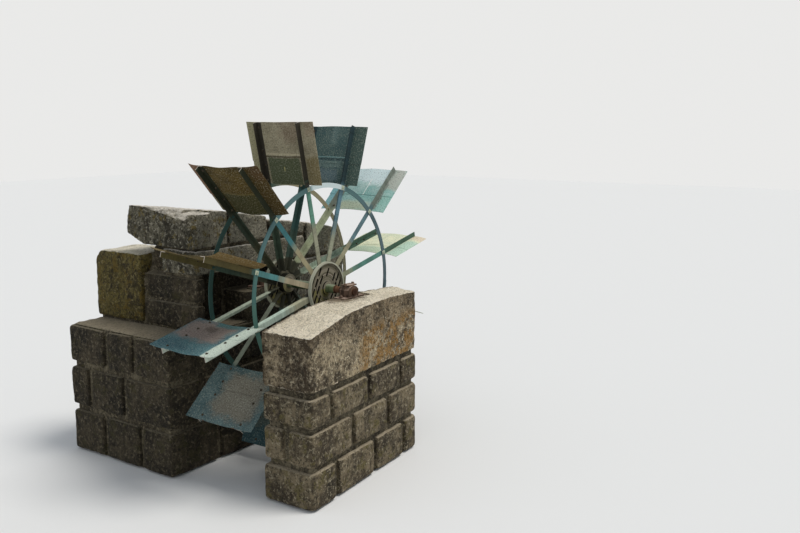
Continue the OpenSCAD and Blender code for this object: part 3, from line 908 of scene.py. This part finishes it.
def spoke_paint(k, on_paddle, middle, at_hub, change, far_middle):
    """The paint of a pair: its colours, and the radius where the hub's colour ends."""
    def fading(tree, place):
        cloud = noise(tree, place["Flat"], 9.0, 6.0, 0.68)
        fine = noise(tree, place["Flat"], 46.0, 4.0, 0.7)
        reach = plus(tree, place["Radius"], times(tree, minus(tree, cloud, 0.5), 0.35))
        far = between(tree, place["Side"], -0.1, 0.1)
        bar = blend(tree, between(tree, reach, change - 0.07, change + 0.08), at_hub, middle)
        bar = blend(tree, times(tree, far, 0.9), bar, far_middle)
        bar = blend(tree, between(tree, reach, 0.95, 1.03), bar, on_paddle)
        dim = blend(tree, 0.5, bar, (34, 34, 26))
        bar = blend(tree, between(tree, cloud, 0.60, 0.40, 0.0, 0.5), bar, dim)
        bar = blend(tree, times(tree, between(tree, fine, 0.55, 0.63), 0.6), bar, dim)
        # Painted shade: the spoke ends behind the disc, near black on the near side, dark grey on
        # the far side.
        behind_disc_shade = blend(tree, far, (30, 29, 22), (66, 66, 54))
        bar = blend(tree, between(tree, place["Radius"], 0.262, 0.240), bar, behind_disc_shade)
        sawn_end = between(tree, place["Radius"], tip_radius - 0.0015, tip_radius - 0.0005)
        return blend(tree, sawn_end, bar, (190, 180, 168))
    return painted(f"spoke paint {k}", 20.0 + k, fading, 0.34)


spoke_looks = {
    1: ((74, 100, 84), (88, 134, 122), (150, 152, 126), 0.46, (158, 172, 152)),
    2: ((126, 134, 124), (96, 124, 130), (158, 154, 126), 0.55, (172, 178, 146)),
    3: ((48, 66, 70), (92, 124, 136), (156, 158, 136), 0.52, (48, 74, 66)),
    4: ((60, 56, 48), (92, 138, 120), (150, 150, 128), 0.62, (50, 72, 58)),
    5: ((48, 52, 38), (62, 112, 116), (158, 150, 120), 0.62, (62, 66, 48)),
    6: ((96, 88, 54), (84, 134, 134), (174, 162, 134), 0.62, (66, 76, 58)),
    7: ((204, 214, 198), (196, 214, 198), (182, 180, 152), 0.50, (192, 202, 180)),
    8: ((72, 96, 96), (96, 124, 118), (134, 136, 116), 0.50, (140, 146, 130)),
    9: ((52, 78, 80), (78, 106, 104), (124, 126, 106), 0.50, (72, 90, 82)),
    10: ((80, 90, 82), (92, 112, 104), (128, 128, 108), 0.50, (82, 94, 82)),
    11: ((88, 108, 98), (96, 124, 116), (136, 136, 114), 0.50, (90, 106, 94)),
    12: ((96, 100, 72), (104, 126, 112), (146, 142, 116), 0.50, (104, 114, 94)),
}
for k, look in spoke_looks.items():
    assign(f"spoke_pair_{k}", spoke_paint(k, *look))


# Paddles: two steel sheets lapped together and bolted to the spokes. Each has weathered in two
# tones of old paint, with patches of other paint, dirt and rust, and on some sheets a painted
# shadow and a painted highlight along the lap.
def make_paint_patch():
    """One patch of paint or dirt on a sheet or bar, bounded across and along the radius."""
    tree, given, results = new_group(
        "paint patch", ["Flat:Vector", "Low side", "High side", "Low radius", "High radius",
                        "Soft", "Ragged"], ["Mask"])
    at = split(tree, given["Flat"])
    mask = 1.0
    for axis, low, high, grain_size in (("X", "Low side", "High side", 9.0),
                                        ("Y", "Low radius", "High radius", 13.0)):
        swing = minus(tree, noise(tree, given["Flat"], grain_size, 6.0, 0.7), 0.5)
        shifted = plus(tree, at[axis], times(tree, swing, given["Ragged"]))
        for label, sign in ((low, 1.0), (high, -1.0)):
            soft = times(tree, given["Soft"], sign)
            inner, outer = plus(tree, given[label], soft), minus(tree, given[label], soft)
            mask = times(tree, mask, between(tree, shifted, outer, inner))
    plug(tree, results["Mask"], mask)
    return tree


def add_patches(tree, place, colour, patches):
    """Lays patches over a colour: low and high side, low and high radius, colour, strength,
    softness of the edge and how ragged it is."""
    for near, far, inner, outer, patch_colour, strength, soft, ragged in patches:
        patch = use_group(tree, paint_patch, {
            "Flat": place["Flat"], "Low side": near, "High side": far,
            "Low radius": inner, "High radius": outer, "Soft": soft, "Ragged": ragged})
        colour = blend(tree, times(tree, patch["Mask"], strength), colour, patch_colour)
    return colour


def sheet_edges(tree, place):
    return larger(tree, between(tree, place["Across"], 0.375, 0.40),
                  between(tree, place["Radius"], tip_radius - 0.02, tip_radius))


def sheet_paint(k, tone_a, tone_b, rust_amount, patches):
    def weathered_sheet(tree, place):
        cloud = noise(tree, place["Flat"], 6.5, 7.0, 0.68)
        speck = noise(tree, place["Flat"], 70.0, 3.0, 0.72)
        sheet = blend(tree, between(tree, cloud, 0.38, 0.62), tone_b, tone_a)
        sheet = add_patches(tree, place, sheet, patches)
        dark = blend(tree, 0.62, sheet, (40, 36, 28))
        light = blend(tree, 0.30, sheet, (210, 208, 190))
        sheet = blend(tree, times(tree, between(tree, speck, 0.54, 0.62), 0.8), sheet, dark)
        return blend(tree, times(tree, between(tree, speck, 0.46, 0.38), 0.8), sheet, light)
    return painted(f"sheet paint {k}", k * 3.1, weathered_sheet, rust_amount,
                   edge_of=sheet_edges)


paint_patch = make_paint_patch()
sheet_looks = {
    1: ((238, 236, 202), (216, 222, 192), 0.20, [
        (-0.20, 0.42, 0.99, 1.16, (184, 208, 182), 0.7, 0.03, 0.10),
        (-0.42, -0.26, 0.99, 1.42, (176, 208, 190), 0.85, 0.03, 0.08),
        (-0.42, -0.26, 1.47, 1.62, (226, 206, 182), 0.8, 0.03, 0.08)]),
    2: ((196, 216, 210), (150, 192, 184), 0.28, [
        (-0.25, 0.42, 1.38, 1.62, (222, 238, 240), 0.8, 0.05, 0.20),
        (-0.25, 0.42, 1.12, 1.34, (122, 174, 170), 0.55, 0.05, 0.22),
        (-0.18, 0.20, 0.99, 1.11, (184, 192, 164), 0.8, 0.03, 0.12),
        (0.26, 0.42, 0.99, 1.30, (112, 172, 182), 0.7, 0.02, 0.05),
        (-0.42, -0.265, 1.30, 1.62, (186, 182, 170), 0.75, 0.04, 0.14),
        (-0.42, -0.265, 0.99, 1.22, (144, 192, 180), 0.75, 0.02, 0.06),
        (-0.275, -0.205, 1.02, 1.58, (104, 76, 64), 0.55, 0.01, 0.12),
        (-0.048, -0.040, 1.20, 1.435, (244, 248, 242), 0.95, 0.003, 0.006)]),
    3: ((84, 106, 102), (64, 90, 90), 0.16, [
        (-0.42, -0.265, 0.99, 1.62, (70, 88, 80), 0.8, 0.02, 0.04),
        # Painted shadow below the lap.
        (-0.22, 0.42, 1.235, 1.262, (46, 70, 74), 0.75, 0.005, 0.01),
        (-0.18, 0.20, 1.17, 1.235, (124, 148, 144), 0.55, 0.02, 0.16),
        (-0.14, 0.08, 1.04, 1.15, (112, 132, 140), 0.60, 0.03, 0.10),
        (-0.07, -0.01, 1.40, 1.58, (112, 134, 130), 0.50, 0.02, 0.04),
        # Painted highlight along the lap.
        (-0.22, 0.42, 1.266, 1.276, (124, 160, 160), 0.9, 0.003, 0.004)]),
    4: ((166, 158, 132), (140, 132, 108), 0.24, [
        (-0.19, 0.19, 0.98, 1.25, (80, 90, 64), 0.92, 0.012, 0.03),
        (-0.42, -0.26, 0.98, 1.26, (118, 106, 70), 0.8, 0.03, 0.10),
        (0.27, 0.42, 0.98, 1.62, (144, 140, 104), 0.7, 0.02, 0.05),
        (-0.22, -0.02, 1.40, 1.60, (96, 68, 54), 0.45, 0.05, 0.30),
        (-0.42, -0.30, 1.44, 1.60, (110, 76, 62), 0.30, 0.03, 0.12),
        # Painted shadow below the lap rib.
        (-0.21, 0.21, 1.252, 1.268, (76, 68, 50), 0.85, 0.005, 0.01),
        # Painted highlight along the lap rib.
        (-0.21, 0.21, 1.272, 1.292, (190, 180, 150), 0.85, 0.004, 0.006),
        (-0.004, 0.005, 1.125, 1.165, (206, 196, 130), 0.9, 0.002, 0.0)]),
    5: ((94, 78, 36), (68, 56, 24), 0.30, [
        (-0.20, 0.20, 0.98, 1.25, (68, 68, 40), 0.85, 0.02, 0.06),
        (0.265, 0.42, 1.18, 1.62, (122, 90, 68), 0.8, 0.01, 0.10),
        (0.265, 0.42, 0.98, 1.18, (130, 124, 98), 0.8, 0.02, 0.10),
        (-0.42, -0.265, 0.98, 1.62, (70, 56, 26), 0.85, 0.01, 0.06),
        (-0.42, -0.30, 1.42, 1.62, (86, 60, 44), 0.35, 0.03, 0.12),
        # Painted highlight along the lap.
        (-0.20, 0.20, 1.25, 1.262, (112, 102, 60), 0.8, 0.003, 0.006)]),
    6: ((106, 90, 52), (78, 68, 38), 0.26, [
        (-0.20, 0.20, 0.98, 1.25, (76, 74, 44), 0.7, 0.02, 0.06),
        (-0.42, -0.265, 0.98, 1.62, (118, 96, 56), 0.8, 0.01, 0.06)]),
    7: ((86, 122, 126), (68, 102, 110), 0.18, [
        (-0.14, 0.38, 1.03, 1.35, (146, 128, 118), 0.85, 0.05, 0.22),
        (-0.16, 0.12, 0.98, 1.07, (74, 118, 118), 0.7, 0.02, 0.08),
        (0.04, 0.17, 1.09, 1.18, (88, 76, 68), 0.65, 0.02, 0.10),
        (-0.42, -0.20, 0.98, 1.62, (204, 216, 202), 0.92, 0.01, 0.03)]),
    8: ((92, 112, 112), (70, 92, 94), 0.28, [
        (-0.30, 0.20, 1.05, 1.50, (124, 114, 98), 0.7, 0.06, 0.30)]),
    9: ((66, 94, 98), (50, 78, 82), 0.26, [
        (-0.15, 0.35, 1.05, 1.40, (98, 104, 92), 0.6, 0.06, 0.30)]),
    10: ((98, 110, 104), (74, 92, 84), 0.28, [
        (-0.42, 0.10, 1.20, 1.62, (118, 110, 90), 0.7, 0.06, 0.30)]),
    11: ((118, 142, 136), (92, 120, 114), 0.26, [
        (-0.25, 0.42, 1.25, 1.62, (138, 142, 122), 0.6, 0.06, 0.30)]),
    12: ((134, 138, 104), (104, 112, 84), 0.28, [
        (-0.42, 0.20, 1.00, 1.30, (124, 116, 84), 0.6, 0.06, 0.30)]),
}
for k, look in sheet_looks.items():
    assign(f"paddle_{k}", sheet_paint(k, *look))


# Paddle bolts: four of dull iron through each spoke and its sheet, heads on the angle
# iron and nuts on the back of the sheet.
def dull_iron(tree, place):
    cloud = noise(tree, place["Flat"], 24.0, 4.0, 0.65)
    return blend(tree, between(tree, cloud, 0.4, 0.6), (48, 42, 34), (92, 84, 70))


bolt_radii, bolt_across = (1.035, 1.175, 1.315, 1.530), 0.234
lap_end, iron_face, outer_back, inner_back = 1.246, 0.005, -0.004, -0.0075
paddle_bolt = nut_on_washer("paddle_bolt", nut=(0.0095, 0.0065), washer=(0.0125, 0.0018),
                            stud_end=0.0022)
bolt_paint = painted("dull iron", 17.0, dull_iron, 0.3, rough=0.8, bump=0.6)
bolt_places = [(k, radius, sign * bolt_across)
               for k in spokes for side, sign in sides for radius in bolt_radii]
set_copies(paddle_bolt, "paddle_bolt_heads",
           [on_wheel(*place, iron_face) for place in bolt_places],
           bolt_paint, "wheel")
set_copies(paddle_bolt, "paddle_bolt_nuts",
           [on_wheel(*place, outer_back if place[1] > lap_end else inner_back, math.pi)
            for place in bolt_places],
           bolt_paint, "wheel")
remove_models(paddle_bolt)


# Floor and light: a plain pale floor, a wide soft lamp high on the upstream side and
# a weak one from the far side.
bpy.ops.object.select_all(action="DESELECT")
bpy.ops.mesh.primitive_plane_add(size=80, location=(0, 0, -0.002))
floor = bpy.context.object
floor.name = "studio_floor"
floor_material, floor_tree, floor_shader = new_material("studio floor")
plug_all(floor_tree, floor_shader, {"Base Color": (0.80, 0.80, 0.79, 1), "Roughness": 0.9})
floor.data.materials.append(floor_material)


def soft_sun(name, from_place, strength, spread, warmth):
    sun_data = bpy.data.lights.new(name, "SUN")
    sun_data.energy = strength
    sun_data.angle = math.radians(spread)
    sun_data.color = warmth
    sun = bpy.data.objects.new(name, sun_data)
    bpy.context.scene.collection.objects.link(sun)
    sun.rotation_euler = Vector(from_place).to_track_quat("Z", "Y").to_euler()


soft_sun("key_sun", (1.6, -3.4, 7.5), strength=1.9, spread=24, warmth=(1.0, 0.97, 0.92))
soft_sun("fill_sun", (-7.0, -3.0, 3.0), strength=0.35, spread=60, warmth=(0.94, 0.97, 1.0))

world = bpy.data.worlds.new("studio_world")
bpy.context.scene.world = world
world.use_nodes = True
sky = world.node_tree
sky.nodes.clear()
light_sky = sky.nodes.new("ShaderNodeBackground")
plug_all(sky, light_sky.inputs, {"Color": (0.86, 0.92, 1.0, 1), "Strength": 0.45})
seen_sky = sky.nodes.new("ShaderNodeBackground")
plug_all(sky, seen_sky.inputs, {"Color": (0.82, 0.82, 0.81, 1), "Strength": 1.0})
rays = sky.nodes.new("ShaderNodeLightPath").outputs
seen = larger(sky, rays["Is Camera Ray"], rays["Is Glossy Ray"])
seen = larger(sky, seen, rays["Is Transmission Ray"])
which = sky.nodes.new("ShaderNodeMixShader")
for socket, value in zip(which.inputs, (seen, light_sky.outputs[0], seen_sky.outputs[0])):
    plug(sky, socket, value)
plug(sky, sky.nodes.new("ShaderNodeOutputWorld").inputs["Surface"], which.outputs[0])
bpy.context.scene.view_settings.view_transform = "Standard"
